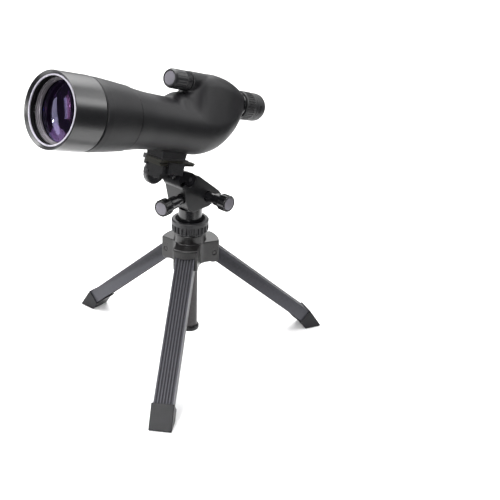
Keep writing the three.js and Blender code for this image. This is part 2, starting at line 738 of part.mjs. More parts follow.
const tiltAxis = new THREE.Group();
tiltAxis.name = "tilt_knob_axis";
tiltAxis.position.set(TILT_KNOB.x, TILT_KNOB.y, TILT_KNOB.z);
tiltAxis.rotation.z = rad(90);
root.add(tiltAxis);
lockKnob("tilt_lock", tiltAxis, 22);

const spigotR = 9;
const spigotTop = 218;
piece(root, "head_body", cut(bodySolid, [
  alongZ(rod(spigotR + GAP, -spigotTop - 0.6, -HEAD_BOTTOM + 1, 40)),
  ...lockBore(PAN_KNOB),
  ...lockBore(TILT_KNOB),
]), paint.plastic());

const upright = (profile, segments) => alongZ(turned(profile.map(([r, z]) => [r, -z]), segments));
piece(root, "pan_base", upright([
  [0, 186],
  [COLUMN_R + 0.3, 186],
  [COLUMN_R + 0.3, 168.6],
  [12.2, 168.6],
  [NECK_R, 171],
  [NECK_R, HEAD_BOTTOM - GAP],
  [spigotR, HEAD_BOTTOM - GAP],
  [spigotR, spigotTop],
  [0, spigotTop],
], 56), paint.gloss());

// ---- Centre column and crown ------------------------------------------------------------------------
piece(root, "centre_column", upright([
  [7.6, COLUMN_BOTTOM],
  [COLUMN_R, COLUMN_BOTTOM],
  [COLUMN_R, 185.6],
  [7.6, 185.6],
], 40), paint.leg());
piece(root, "column_end_cap", upright([
  [0, 27.6],
  [11.2, 27.6],
  [11.9, 28.4],
  [11.9, 32.4],
  [10.6, COLUMN_BOTTOM - GAP],
  [7.2, COLUMN_BOTTOM - GAP],
  [7.2, 46],
  [0, 46],
], 40), paint.plastic());

const colletBody = upright([
  [COLUMN_R + 0.35, 152],
  [12.6, 152],
  [12.6, 159],
  [13.4, 160.4],
  [13.4, 165],
  [12.4, 166.2],
  [COLUMN_R + 0.35, 166.2],
], 40);
const colletSlots = [0, 60, 120].map((turn) => block(-20, 20, -0.6, 0.6, 157, 170).rotate([0, 0, turn]));
piece(root, "column_collet", cut(colletBody, colletSlots), paint.black());

const FLUTES = 24;
const FLUTE_DEPTH = 1.3;
const collarWave = (i) => (i % 4 < 2 ? COLLAR_R : COLLAR_R - FLUTE_DEPTH);
// Solid of revolution about z that reaches the axis; the corners are [radius, height].
const disc = (corners, segments) => {
  const first = corners[0][1];
  const last = corners[corners.length - 1][1];
  return upright([[0, first], ...corners, [0, last]], segments);
};
const collar = cut(union([
  alongZ(fluted(collarWave, FLUTES * 4, -COLLAR_TOP + 5, -COLLAR_BOTTOM - 1.2)),
  disc([
    [COLLAR_R, COLLAR_TOP - 5.4],
    [COLLAR_R, COLLAR_TOP - 1],
    [COLLAR_R - 1, COLLAR_TOP],
  ], 56),
  disc([
    [COLLAR_R - 1.6, COLLAR_BOTTOM],
    [COLLAR_R - 1.2, COLLAR_BOTTOM + 1.4],
  ], 56),
]), [
  disc([[14.8, 168], [14.8, 174], [17.5, COLLAR_TOP + 1]], 48),
  disc([[13.8, COLLAR_BOTTOM - 2], [13.8, 166.6]], 48),
  disc([[COLUMN_R + 0.9, 165], [COLUMN_R + 0.9, 172]], 40),
]);
piece(root, "locking_collar", collar, paint.plastic());

const legAzimuth = (k) => FRONT_LEG_AZIMUTH + 360 / LEG_COUNT * k;
// Leg-frame solids run along +x radially; turn them to a leg's azimuth.
const atLeg = (solid, k) => solid.rotate([0, 0, legAzimuth(k)]);
const legIndices = [...Array(LEG_COUNT).keys()];
const POCKET_HALF = LEG_HALF_WIDTH + GAP;
const earRound = disc([
  [EAR_REACH, EAR_BOTTOM - 5],
  [EAR_REACH, EAR_TOP - 1.2],
  [EAR_REACH - 1.2, EAR_TOP],
], 144);
const earSolid = (k) => atLeg(union([
  block(0, EAR_REACH - 9, -EAR_HALF_WIDTH, EAR_HALF_WIDTH, EAR_BOTTOM + 2, EAR_TOP),
  block(0, EAR_REACH, -EAR_HALF_WIDTH, EAR_HALF_WIDTH, EAR_BOTTOM + 9, EAR_TOP),
  rod(9, -EAR_HALF_WIDTH, EAR_HALF_WIDTH, 32).translate([EAR_REACH - 9, 0, EAR_BOTTOM + 9.4]),
]).intersect(earRound), k);
// Web between two ears, hollowed by an upright cylinder that meets both cheeks at a tangent.
const filletCentre = (EAR_HALF_WIDTH + EAR_FILLET) / Math.sin(rad(60));
const filletCylinder = disc([[EAR_FILLET, EAR_BOTTOM - 5], [EAR_FILLET, EAR_TOP + 1]], 72);
const earWeb = (k) => cut(
  block(8, filletCentre - EAR_FILLET * Math.cos(rad(30)), -6.9, 6.9, EAR_BOTTOM + 2, EAR_TOP - 0.6),
  [filletCylinder.translate([filletCentre, 0, 0])],
).rotate([0, 0, legAzimuth(k) + 60]);
// The pocket's roof comes down at the front, over the leg's root, with the leg's own slope.
const pocketSide = [
  [16.4, 60],
  [16.4, 144.2],
  [30.6, 144.2],
  [30.6, 142.4],
  [60, 142.4 - 29.4 * Math.tan(rad(LEG_SLOPE))],
  [60, 60],
];
const pocket = (k) => atLeg(slab(pocketSide, -POCKET_HALF, POCKET_HALF).rotate([0, 0, -90]), k);
const pinHole = (k) => atLeg(rod(PIN_R + GAP, -30, 30, 24).translate([HINGE_R, 0, HINGE_Z]), k);
const crown = cut(union([
  disc([
    [13.4, EAR_BOTTOM - 3],
    [13.4, EAR_TOP - 2],
    [CROWN_R, EAR_TOP - 1],
    [CROWN_R, CROWN_TOP - 1],
    [CROWN_R - 1, CROWN_TOP],
  ], 56),
  ...legIndices.map(earSolid),
  ...legIndices.map(earWeb),
]), [
  ...legIndices.map(pocket),
  ...legIndices.map(pinHole),
  disc([[COLUMN_R + 0.4, 100], [COLUMN_R + 0.4, 151.6]], 40),
  disc([[13, 151], [13, 159], [13.8, 160], [13.8, 170]], 40),
]);
piece(root, "crown", crown, paint.plastic());

// ---- Legs ------------------------------------------------------------------------------------------
// Drawn along +x from the hinge, then sloped down and turned to the leg's azimuth.
function legSection() {
  const half = LEG_HALF_WIDTH;
  const top = LEG_DEPTH / 2;
  const pitch = (2 * half - 2.4) / LEG_RIBS;
  const outline = [[-half, -top], [-half, top - 0.6], [-half + 0.6, top]];
  for (let i = 0; i < LEG_RIBS; i++) {
    const y = -half + 1.2 + pitch * i;
    outline.push([y + pitch * 0.3, top], [y + pitch * 0.42, top - 0.9]);
    outline.push([y + pitch * 0.78, top - 0.9], [y + pitch * 0.9, top]);
  }
  outline.push([half - 0.6, top], [half, top - 0.6], [half, -top], [half - LEG_WALL, -top]);
  outline.push([half - LEG_WALL, top - LEG_WALL - 0.6], [-half + LEG_WALL, top - LEG_WALL - 0.6]);
  outline.push([-half + LEG_WALL, -top]);
  return outline;
}

function legSolid() {
  const start = -LEG_DEPTH / 2;
  const channel = toSolid(new THREE.ExtrudeGeometry(
    new THREE.Shape(legSection().map(([y, z]) => new THREE.Vector2(y, z))),
    { depth: LEG_LENGTH - start, bevelEnabled: false },
  ).applyMatrix4(UPRIGHT_BASIS).translate(start, 0, 0));
  const half = LEG_DEPTH / 2;
  const corner = (low) => cut(
    block(-half - 1, 0, -20, 20, low ? -half - 1 : 0, low ? 0 : half + 1),
    [rod(half, -21, 21, 40)],
  );
  return cut(channel, [corner(true), corner(false), rod(PIN_R + GAP, -30, 30, 24)]);
}

const slope = rad(LEG_SLOPE);
// Foot shoe in the leg's frame; its sole lies flat on the ground.
function shoeSolid() {
  const toLeg = (r, z) => {
    const dr = r - HINGE_R;
    const dz = z - HINGE_Z;
    return [dr * Math.cos(slope) - dz * Math.sin(slope), dr * Math.sin(slope) + dz * Math.cos(slope)];
  };
  const top = LEG_DEPTH / 2;
  const outline = [
    [LEG_LENGTH - 3.5, top + 1.7],
    toLeg(180.5, 1.4),
    toLeg(179, 0),
    toLeg(158.5, 0),
    [LEG_LENGTH - 3, -top - 1.9],
  ];
  const half = LEG_HALF_WIDTH + 1.8;
  const legClear = LEG_HALF_WIDTH + 0.35;
  const topClear = top + 0.35;
  const socket = block(0, LEG_LENGTH + GAP, -legClear, legClear, -topClear, topClear);
  const tongue = block(LEG_LENGTH - 18, LEG_LENGTH + 2, -half + 3, half - 3, -top - 1.9, -topClear);
  return cut(union([slab(outline, -half, half).rotate([0, 0, -90]), tongue]), [socket]);
}

const legShape = legSolid();
const shoeShape = shoeSolid();
for (const k of legIndices) {
  const hinge = new THREE.Group();
  hinge.name = `leg_hinge_${k + 1}`;
  const azimuth = rad(legAzimuth(k));
  hinge.position.set(HINGE_R * Math.cos(azimuth), HINGE_R * Math.sin(azimuth), HINGE_Z);
  hinge.rotation.z = azimuth;
  root.add(hinge);
  const sloped = new THREE.Group();
  sloped.name = `leg_slope_${k + 1}`;
  sloped.rotation.y = slope;
  hinge.add(sloped);
  piece(sloped, `leg_${k + 1}`, legShape, paint.leg());
  piece(sloped, `foot_shoe_${k + 1}`, shoeShape, paint.rubber());
  const pin = rod(PIN_R, -EAR_HALF_WIDTH + 0.3, EAR_HALF_WIDTH - 0.3, 24);
  piece(hinge, `leg_pin_${k + 1}`, pin, paint.metal());
}

// The origin is on the ground at the middle of the whole object's bounding box.
const extent = new THREE.Box3().setFromObject(root, true);
root.position.x = -(extent.min.x + extent.max.x) / 2;
root.position.y = -(extent.min.y + extent.max.y) / 2;
root.position.z = -extent.min.z;

export default root;
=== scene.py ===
"""The looks of a straight-view zoom spotting scope on its table-top tripod.

Shapes are drawn in millimetres in a local frame (the scope's tilted frame, a knob's axis, a leg) and
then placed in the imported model's own frame, at the positions of its joints.
"""
import json
import math

import bmesh
import bpy
import numpy as np
from mathutils import Matrix, Vector


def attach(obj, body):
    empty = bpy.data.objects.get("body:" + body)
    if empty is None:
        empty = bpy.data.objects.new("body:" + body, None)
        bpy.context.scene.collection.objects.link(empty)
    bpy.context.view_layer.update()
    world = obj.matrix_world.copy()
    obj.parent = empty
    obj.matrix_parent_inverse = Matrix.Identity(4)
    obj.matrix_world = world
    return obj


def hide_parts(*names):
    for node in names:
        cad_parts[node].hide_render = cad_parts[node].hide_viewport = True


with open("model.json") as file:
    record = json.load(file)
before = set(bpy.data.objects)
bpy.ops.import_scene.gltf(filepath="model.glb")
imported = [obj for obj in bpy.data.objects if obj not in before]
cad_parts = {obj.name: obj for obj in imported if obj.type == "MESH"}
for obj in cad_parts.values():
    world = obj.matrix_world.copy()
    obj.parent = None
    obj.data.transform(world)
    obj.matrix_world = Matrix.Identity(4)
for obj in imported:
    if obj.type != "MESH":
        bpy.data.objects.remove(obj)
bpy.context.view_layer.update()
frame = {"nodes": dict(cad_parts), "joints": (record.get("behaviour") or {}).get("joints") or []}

MM = 0.001
JOINTS = {joint["name"]: joint for joint in frame["joints"]}

# ---- Driving dimensions, in millimetres ---------------------------------------------------------
SCOPE_TILT = 17.4                   # degrees the scope points above the horizon
FOCUS_STATION = 165                 # where the focus joint's point lies behind the front rim
FOCUS_HEIGHT = 49.6
EYE_HEIGHT = 32.3
SHADE_R = 38.5
SHADE_BORE_R = 36.5
SHADE_REAR = 40.2
TRIM_R = 34.9
TUBE_R = 35.9
TUBE_BORE_R = 33.3
TUBE_FRONT = 9.8
TUBE_REAR = 62
LENS_R = 32.9
BARREL_R = 38
BARREL_BORE_R = 31
BARREL_FRONT = 41.4
BARREL_REAR = 92.0
SEAM_R = 33.7                       # the barrel's seam and the housing's front end
HOUSING_FRONT = 92.8
HOUSING_REAR = 270
FOCUS_FRONT = 152.5
FOCUS_REAR = 179.6
FOCUS_R = 10.9
EYE_BORE_R = 9.8
ZOOM_R = 17
ZOOM_FRONT = 275
ZOOM_REAR = 293
CUP_R = 16.8
CUP_FRONT = 293.3
CUP_REAR = 311.5
CUP_PATCH_ANGLES = (-16, 16)                # the eyecup's dark patch, in degrees round from +X towards up
KNOB_R = 9.8
KNOB_LENGTH = 12
NECK_R = 14.2
NECK_BOTTOM = 168.6
NECK_TOP = 192.5
COLUMN_R = 9.6
COLUMN_BOTTOM = 34
COLUMN_TOP = 185.6
CAP_R = 11.9
CAP_BOTTOM = 27.6
COLLAR_R = 22.1
COLLAR_BOTTOM = 162.2
COLLAR_TOP = 178
CAMERA_YAW = 40.09                  # degrees, turned from +Y towards -X
CAMERA_PITCH = 26.05                # degrees down
CAMERA_ROLL = 2.33                  # degrees
CAMERA_FROM_COLUMN = (0.6957, -0.7142, 0.6246)      # metres
FOCAL_LENGTH = 66.25                # millimetres on a 36 mm wide sensor


# ---- Local frames ---------------------------------------------------------------------------------
def frame_at(origin, x_axis, y_axis, z_axis):
    """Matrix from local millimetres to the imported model's metres."""
    matrix = Matrix.Identity(4)
    for column, axis in enumerate((x_axis, y_axis, z_axis)):
        matrix.col[column][:3] = Vector(axis).normalized() * MM
    matrix.col[3][:3] = origin
    return matrix


def shifted(base, x, y, z):
    return base @ Matrix.Translation((x, y, z))


def axis_frame(joint_name, sign=1):
    """Frame on a hinge: local y runs along its axis, or against it with sign -1."""
    joint = JOINTS[joint_name]
    y_axis = Vector(joint["axis"]) * sign
    helper = Vector((1, 0, 0)) if abs(y_axis.x) < 0.9 else Vector((0, 1, 0))
    z_axis = helper.cross(y_axis).normalized()
    return frame_at(Vector(joint["pos_m"]), y_axis.cross(z_axis), y_axis, z_axis)


REARWARD = -Vector(JOINTS["sunshade_slide"]["axis"]).normalized()
SCOPE_UP = Vector((1, 0, 0)).cross(REARWARD)
RIM = (Vector(JOINTS["focus_turn"]["pos_m"]) - REARWARD * FOCUS_STATION * MM
       - SCOPE_UP * FOCUS_HEIGHT * MM)
SCOPE = frame_at(RIM, (1, 0, 0), REARWARD, SCOPE_UP)
FOCUS = shifted(SCOPE, 0, 0, FOCUS_HEIGHT)
EYE = shifted(SCOPE, 0, 0, EYE_HEIGHT)
COLUMN_AT = Vector(JOINTS["pan"]["pos_m"]) * Vector((1, 1, 0))
STAND = frame_at(COLUMN_AT, (1, 0, 0), (0, 0, 1), (0, -1, 0))     # local y is up the column


# ---- Mesh building --------------------------------------------------------------------------------
def mesh_object(name, vertices, faces):
    mesh = bpy.data.meshes.new(name)
    mesh.from_pydata([tuple(v) for v in vertices], [], faces)
    made = bpy.data.objects.new(name, mesh)
    bpy.context.scene.collection.objects.link(made)
    return made


def edit(made, work):
    """Runs work on the object's bmesh."""
    shape = bmesh.new()
    shape.from_mesh(made.data)
    work(shape)
    shape.to_mesh(made.data)
    shape.free()


def clean(shape):
    bmesh.ops.remove_doubles(shape, verts=shape.verts, dist=1e-7)
    bmesh.ops.recalc_face_normals(shape, faces=shape.faces)


def placed(made, where):
    made.data.transform(where)
    edit(made, clean)
    return made


def padded(corners, waves=1):
    """The corners with a depth of 0 for each wave that a corner doesn't mention."""
    return [(*corner, *[0] * waves)[:2 + waves] for corner in corners]


def fillet(corners, radius, closed=True, steps=3):
    """The outline with each corner rounded; numbers after the first two pass through."""
    rounded = []
    count = len(corners)
    sharpest = 0.05                 # radians, half of the narrowest corner handled
    longest = 0.42                  # of a side that one corner may take up
    for i, (a, b, *rest) in enumerate(corners):
        if not closed and i in (0, count - 1):
            rounded.append((a, b, *rest))
            continue
        here = Vector((a, b))
        back = Vector(corners[i - 1][:2]) - here
        ahead = Vector(corners[(i + 1) % count][:2]) - here
        half_angle = max(back.angle(ahead) / 2, sharpest)
        reach = min(radius / math.tan(half_angle), longest * back.length, longest * ahead.length)
        start = here + back.normalized() * reach
        end = here + ahead.normalized() * reach
        for step in range(steps + 1):
            t = step / steps
            point = start * (1 - t) ** 2 + here * 2 * t * (1 - t) + end * t * t
            rounded.append((point.x, point.y, *rest))
    return rounded


def spin(name, profile, where, segments, waves=()):
    """Solid of revolution about local y, through corners of radius and station. Any numbers after
    those two say how deep each wave, a function of the angle, cuts into the radius there. A profile
    that starts on the axis is left open and capped by it."""
    angles = np.linspace(0, 2 * math.pi, segments, endpoint=False)
    shapes = [wave(angles) for wave in waves]
    vertices = []
    for r, y, *depths in profile:
        radius = r - sum((depth * shape for depth, shape in zip(depths, shapes)), np.zeros(segments))
        vertices += zip(radius * np.cos(angles), np.full(segments, y), radius * np.sin(angles))
    rows = len(profile)
    closed = profile[0][0] > 0
    faces = []
    for row in range(rows if closed else rows - 1):
        low = row * segments
        high = (row + 1) % rows * segments
        for i in range(segments):
            j = (i + 1) % segments
            faces.append((low + i, low + j, high + j, high + i))
    made = mesh_object(name, vertices, faces)
    edit(made, lambda shape: bmesh.ops.remove_doubles(shape, verts=shape.verts, dist=1e-4))
    edit(made, lambda shape: bmesh.ops.dissolve_degenerate(shape, edges=shape.edges, dist=1e-5))
    return placed(made, where)


def rod(name, radius, near, far, where, segments):
    """Solid cylinder between two stations of local y."""
    return spin(name, [(0, near), (radius, near), (radius, far), (0, far)], where, segments)


def band(outer, inner, near, far):
    """Profile of a plain ring between two radii and two stations."""
    return [(outer, near), (outer, far), (inner, far), (inner, near)]


def end_disc(name, radius, apex, edge, back, where):
    """Slightly domed disc in the end of a knob, given the stations of its apex, edge and back."""
    profile = fillet([(0, apex), (radius, edge), (radius, back), (0, back)], 0.2, closed=False)
    return spin(name, profile, where, 96)


def settle(made):
    """Applies the object's modifiers to its mesh."""
    graph = bpy.context.evaluated_depsgraph_get()
    final = bpy.data.meshes.new_from_object(made.evaluated_get(graph))
    made.modifiers.clear()
    made.data = final
    return made


def joined(made, tools, operation):
    for tool in tools:
        modifier = made.modifiers.new("boolean", "BOOLEAN")
        modifier.operation = operation
        modifier.solver = "EXACT"
        modifier.object = tool
    settle(made)
    for tool in tools:
        bpy.data.objects.remove(tool)
    return made


def moulded(made, voxel, passes):
    """Rounds every edge as a moulding has it: a fine remesh, then smoothing."""
    remesh = made.modifiers.new("remesh", "REMESH")
    remesh.mode = "VOXEL"
    remesh.voxel_size = voxel * MM
    smooth = made.modifiers.new("smooth", "SMOOTH")
    smooth.factor = 0.5
    smooth.iterations = passes
    return settle(made)


def copied(name, *nodes):
    """A new object with the joined meshes of these CAD nodes, flat faces whole again."""
    shape = bmesh.new()
    for node in nodes:
        shape.from_mesh(frame["nodes"][node].data)
    clean(shape)
    bmesh.ops.dissolve_limit(shape, angle_limit=math.radians(1.5), verts=shape.verts, edges=shape.edges)
    mesh = bpy.data.meshes.new(name)
    shape.to_mesh(mesh)
    shape.free()
    made = bpy.data.objects.new(name, mesh)
    bpy.context.scene.collection.objects.link(made)
    return made


def bevelled(made, width, segments=3, angle=40):
    bevel = made.modifiers.new("bevel", "BEVEL")
    bevel.width = width * MM
    bevel.segments = segments
    bevel.limit_method = "ANGLE"
    bevel.angle_limit = math.radians(angle)
    return made


def dressed(made, body, material, nodes, sharp=48, weighted=True):
    """Last step of each piece: smooth shading, material, body and the CAD nodes it stands for."""
    made.data.polygons.foreach_set("use_smooth", [True] * len(made.data.polygons))
    made.data.set_sharp_from_angle(angle=math.radians(sharp))
    if weighted:
        made.modifiers.new("normals", "WEIGHTED_NORMAL").keep_sharp = True
    made.data.materials.clear()
    made.data.materials.append(material)
    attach(made, body)
    if nodes:
        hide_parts(*nodes)
    return made


# ---- Materials ------------------------------------------------------------------------------------
NOISE_RANGE = (0.3, 0.7)            # where nearly all of a noise's values lie
WEAR_AND_HIGHLIGHT_POINTINESS = (0.52, 0.62)      # pointiness where a convex edge starts to be lightened, and is fully lightened: rubbed wear and a painted highlight


class Shader:
    """Small helper round one procedural material."""

    def __init__(self, name):
        self.material = bpy.data.materials.new(name)
        self.material.use_nodes = True
        self.tree = self.material.node_tree
        self.surface = self.tree.nodes["Principled BSDF"]
        self.coordinates = self.tree.nodes.new("ShaderNodeTexCoord")

    def set(self, **values):
        """Sets sockets by name: specular_tint is the socket Specular Tint."""
        sockets = {socket.name.lower().replace(" ", "_"): socket for socket in self.surface.inputs}
        for name, value in values.items():
            sockets[name].default_value = value
        return self

    def place(self, scale, turn=(0, 0, 0)):
        """Object coordinates turned, then stretched, so streaks can follow a piece's axis."""
        turned = self.tree.nodes.new("ShaderNodeVectorRotate")
        turned.rotation_type = "EULER_XYZ"
        turned.inputs["Rotation"].default_value = turn
        self.tree.links.new(self.coordinates.outputs["Object"], turned.inputs["Vector"])
        stretched = self.tree.nodes.new("ShaderNodeVectorMath")
        stretched.operation = "MULTIPLY"
        stretched.inputs[1].default_value = scale
        self.tree.links.new(turned.outputs[0], stretched.inputs[0])
        return stretched.outputs[0]

    def noise(self, vector, detail, roughness):
        node = self.tree.nodes.new("ShaderNodeTexNoise")
        node.inputs["Scale"].default_value = 1
        node.inputs["Detail"].default_value = detail
        node.inputs["Roughness"].default_value = roughness
        self.tree.links.new(vector, node.inputs["Vector"])
        return node.outputs["Fac"]

    def drift(self, scale):
        """Slow variation over a piece, scale times a metre."""
        return self.noise(self.place((scale,) * 3), 5, 0.6)

    def cells(self, vector):
        node = self.tree.nodes.new("ShaderNodeTexVoronoi")
        node.inputs["Scale"].default_value = 1
        self.tree.links.new(vector, node.inputs["Vector"])
        return node.outputs["Distance"]

    def spread(self, factor, low, high):
        """A noise's middle range stretched from low to high."""
        node = self.tree.nodes.new("ShaderNodeMapRange")
        node.inputs["From Min"].default_value = NOISE_RANGE[0]
        node.inputs["From Max"].default_value = NOISE_RANGE[1]
        node.inputs["To Min"].default_value = low
        node.inputs["To Max"].default_value = high
        self.tree.links.new(factor, node.inputs["Value"])
        return node.outputs["Result"]

    def colour(self, factor, dark, light):
        ramp = self.tree.nodes.new("ShaderNodeValToRGB")
        ramp.color_ramp.elements[0].position = NOISE_RANGE[0]
        ramp.color_ramp.elements[0].color = (*dark, 1)
        ramp.color_ramp.elements[1].position = NOISE_RANGE[1]
        ramp.color_ramp.elements[1].color = (*light, 1)
        self.tree.links.new(factor, ramp.inputs["Fac"])
        return ramp.outputs["Color"]

    def worn_and_highlit_edges(self, colour, light, wear_and_highlight_gain):
        """Lightens convex edges to wear_and_highlight_gain times the light colour: rubbed wear where handling
        rubs them, and a painted highlight along the edges.
        """
        geometry = self.tree.nodes.new("ShaderNodeNewGeometry")
        limit = self.tree.nodes.new("ShaderNodeMapRange")
        limit.inputs["From Min"].default_value = WEAR_AND_HIGHLIGHT_POINTINESS[0]
        limit.inputs["From Max"].default_value = WEAR_AND_HIGHLIGHT_POINTINESS[1]
        self.tree.links.new(geometry.outputs["Pointiness"], limit.inputs["Value"])
        # mixing colours, the node reads socket 0 as the factor, 6 and 7 as the colours, and answers on 2
        mix = self.tree.nodes.new("ShaderNodeMix")
        mix.data_type = "RGBA"
        mix.inputs[7].default_value = (*[min(1, c * wear_and_highlight_gain) for c in light], 1)
        self.tree.links.new(limit.outputs["Result"], mix.inputs[0])
        self.tree.links.new(colour, mix.inputs[6])
        return mix.outputs[2]

    def bump(self, height, strength, distance, below=None):
        node = self.tree.nodes.new("ShaderNodeBump")
        node.inputs["Strength"].default_value = strength
        node.inputs["Distance"].default_value = distance * MM
        self.tree.links.new(height, node.inputs["Height"])
        if below is not None:
            self.tree.links.new(below, node.inputs["Normal"])
        return node.outputs["Normal"]

    def link(self, output, socket):
        self.tree.links.new(output, self.surface.inputs[socket])
        return self


def grained(name, dark, light, roughness, grain, depth, metallic=0.0, **values):
    """Moulded surface: slow colour drift, uneven gloss and a fine grain of the given size in mm."""
    shader = Shader(name)
    drift = shader.drift(60)
    fine = shader.noise(shader.place((1 / (grain * MM),) * 3), 3, 0.6)
    # convex edges lightened: rubbed wear and a painted highlight
    shader.link(shader.worn_and_highlit_edges(shader.colour(drift, dark, light), light, 1.8), "Base Color")
    shader.link(shader.spread(fine, *roughness), "Roughness")
    shader.link(shader.bump(fine, 0.5, depth), "Normal")
    return shader.set(metallic=metallic, **values).material


def streaked(name, dark, light, roughness, scale, turn, depth, metallic, wear_and_highlight_gain=2.2, **values):
    """Turned, drawn or brushed metal: noise stretched along the tool's path."""
    shader = Shader(name)
    streak = shader.noise(shader.place(scale, turn), 4, 0.65)
    # convex edges lightened: rubbed wear and a painted highlight
    shader.link(shader.worn_and_highlit_edges(shader.colour(streak, dark, light), light, wear_and_highlight_gain), "Base Color")
    shader.link(shader.spread(streak, *roughness), "Roughness")
    shader.link(shader.bump(streak, 0.35, depth), "Normal")
    return shader.set(metallic=metallic, **values).material


def pebbled(name, dark, light, roughness, cell, depth, **values):
    """Rubber armour: pebble cells with a finer grain over them."""
    shader = Shader(name)
    drift = shader.drift(35)
    pebble = shader.cells(shader.place((1 / (cell * MM),) * 3))
    fine = shader.noise(shader.place((3 / (cell * MM),) * 3), 3, 0.6)
    shader.link(shader.colour(drift, dark, light), "Base Color")
    shader.link(shader.spread(fine, *roughness), "Roughness")
    first = shader.bump(pebble, 0.6, depth)
    shader.link(shader.bump(fine, 0.4, depth * 0.5, first), "Normal")
    return shader.set(**values).material


def coated_glass(name, tint, coat, clear, blur):
    """Glass whose reflections take the coating's colour; clear is how much light it lets through."""
    shader = Shader(name)
    smear = shader.drift(90)
    shader.link(shader.colour(smear, [0.8 * c for c in tint], tint), "Base Color")
    shader.link(shader.spread(smear, *blur), "Roughness")
    shader.set(ior=1.5, specular_tint=(*coat, 1), transmission_weight=clear)
    return shader.material


TILT_TURN = (math.radians(SCOPE_TILT), 0, 0)     # turns the scope's axis onto y
SHADE_METAL = streaked("satin_black_anodised", (0.007, 0.007, 0.008), (0.010, 0.010, 0.011), (0.28, 0.31),
                       (25, 1500, 25), TILT_TURN, 0.004, 0.0, specular_ior_level=0.8)
# machined metal ring whose light, lilac, diffuse colour is partly a painted highlight standing in for
# reflected light
BRIGHT_RING = streaked("machined_bright_edge", (0.40, 0.38, 0.45), (0.54, 0.52, 0.59), (0.24, 0.36),
                       (60, 2500, 60), TILT_TURN, 0.01, 0.15)
LENS_CELL = streaked("lens_cell_grey", (0.110, 0.102, 0.112), (0.190, 0.176, 0.192), (0.26, 0.38),
                     (60, 2200, 60), TILT_TURN, 0.01, 0.3)
ARMOUR = pebbled("rubber_armour_charcoal", (0.007, 0.007, 0.008), (0.011, 0.0105, 0.012),
                 (0.42, 0.52), 0.5, 0.03, specular_ior_level=0.33)
SOFT_RUBBER = pebbled("grip_rubber_black", (0.010, 0.010, 0.011), (0.016, 0.016, 0.017),
                      (0.42, 0.56), 0.35, 0.02, specular_ior_level=0.4)
INNER_BLACK = grained("inner_matt_black", (0.003, 0.003, 0.003), (0.006, 0.006, 0.006), (0.5, 0.7), 0.3, 0.02,
                      specular_ior_level=0.2)
# darker, duller copy of the moulded black, for the tilt block only: painted shade on its facets
TILT_SHADED_BLACK = grained("tilt_block_black", (0.003, 0.003, 0.0035), (0.005, 0.005, 0.006),
                     (0.30, 0.42), 0.6, 0.015, ior=1.12)
GRIP_RUBBER = grained("grip_rubber", (0.010, 0.010, 0.0105), (0.017, 0.017, 0.018), (0.42, 0.55), 0.5, 0.02,
                      specular_ior_level=0.5)
GLOSS_BLACK = grained("neck_gloss_black", (0.004, 0.004, 0.005), (0.007, 0.007, 0.008),
                      (0.14, 0.22), 0.8, 0.006, specular_ior_level=0.7)
KNOB_BLACK = grained("knob_semi_gloss_black", (0.005, 0.005, 0.006), (0.009, 0.009, 0.010),
                     (0.18, 0.28), 0.5, 0.01, specular_ior_level=0.5)
CAP_GREY = grained("satin_grey_disc", (0.15, 0.145, 0.165), (0.21, 0.20, 0.23), (0.34, 0.46), 0.4, 0.012, 0.4)
MOULDED = grained("satin_moulded_black", (0.006, 0.006, 0.0065), (0.010, 0.010, 0.011),
                  (0.26, 0.38), 0.6, 0.015, ior=1.38)
PLATE = grained("plate_dark_olive", (0.013, 0.0125, 0.009), (0.021, 0.020, 0.014), (0.32, 0.46), 0.5, 0.015,
                specular_ior_level=0.4)
CLAMP_GREY = grained("clamp_satin_grey", (0.035, 0.035, 0.037), (0.055, 0.055, 0.058),
                     (0.22, 0.32), 0.6, 0.012, specular_ior_level=0.6)
FOCUS_SATIN = grained("focus_satin_black", (0.010, 0.010, 0.011), (0.016, 0.016, 0.018),
                      (0.34, 0.44), 0.5, 0.008, specular_ior_level=0.5)
HUB_GREY = grained("hub_satin_charcoal", (0.008, 0.0075, 0.0075), (0.014, 0.013, 0.013),
                   (0.26, 0.36), 0.7, 0.012, specular_ior_level=0.5)
SHOE = grained("shoe_dark_grey", (0.010, 0.010, 0.011), (0.015, 0.015, 0.017), (0.32, 0.46), 0.6, 0.02,
               ior=1.25)
# edge lightening of 4 times the light colour: rubbed wear and a painted highlight on the ribs' edges
LEG_METAL = streaked("leg_anodised_grey", (0.024, 0.024, 0.027), (0.037, 0.037, 0.042), (0.34, 0.46),
                     (300, 300, 300), (0, 0, 0), 0.015, 0.2, wear_and_highlight_gain=4, ior=1.2)
COLUMN_METAL = streaked("column_anodised_grey", (0.032, 0.029, 0.030), (0.050, 0.046, 0.047), (0.34, 0.46),
                        (300, 300, 300), (0, 0, 0), 0.015, 0.35)
STEEL = streaked("machined_steel", (0.35, 0.35, 0.37), (0.48, 0.48, 0.5), (0.25, 0.4), (900, 900, 900),
                 (0, 0, 0), 0.01, 1.0)
BRASS = streaked("turned_brass", (0.45, 0.31, 0.12), (0.56, 0.4, 0.17), (0.25, 0.4), (900, 900, 900),
                 (0, 0, 0), 0.01, 1.0)
FRONT_GLASS = coated_glass("front_glass_violet_coat", (0.80, 0.72, 0.95), (0.46, 0.42, 1.0), 1.0, (0.0, 0.02))
# opaque and near black: painted shade of the dark scope interior seen through the glass; the magenta tints
# only its reflections
INNER_GLASS = coated_glass("inner_glass_magenta_coat", (0.006, 0.003, 0.008), (1.0, 0.18, 0.80),
                           0.0, (0.09, 0.13))


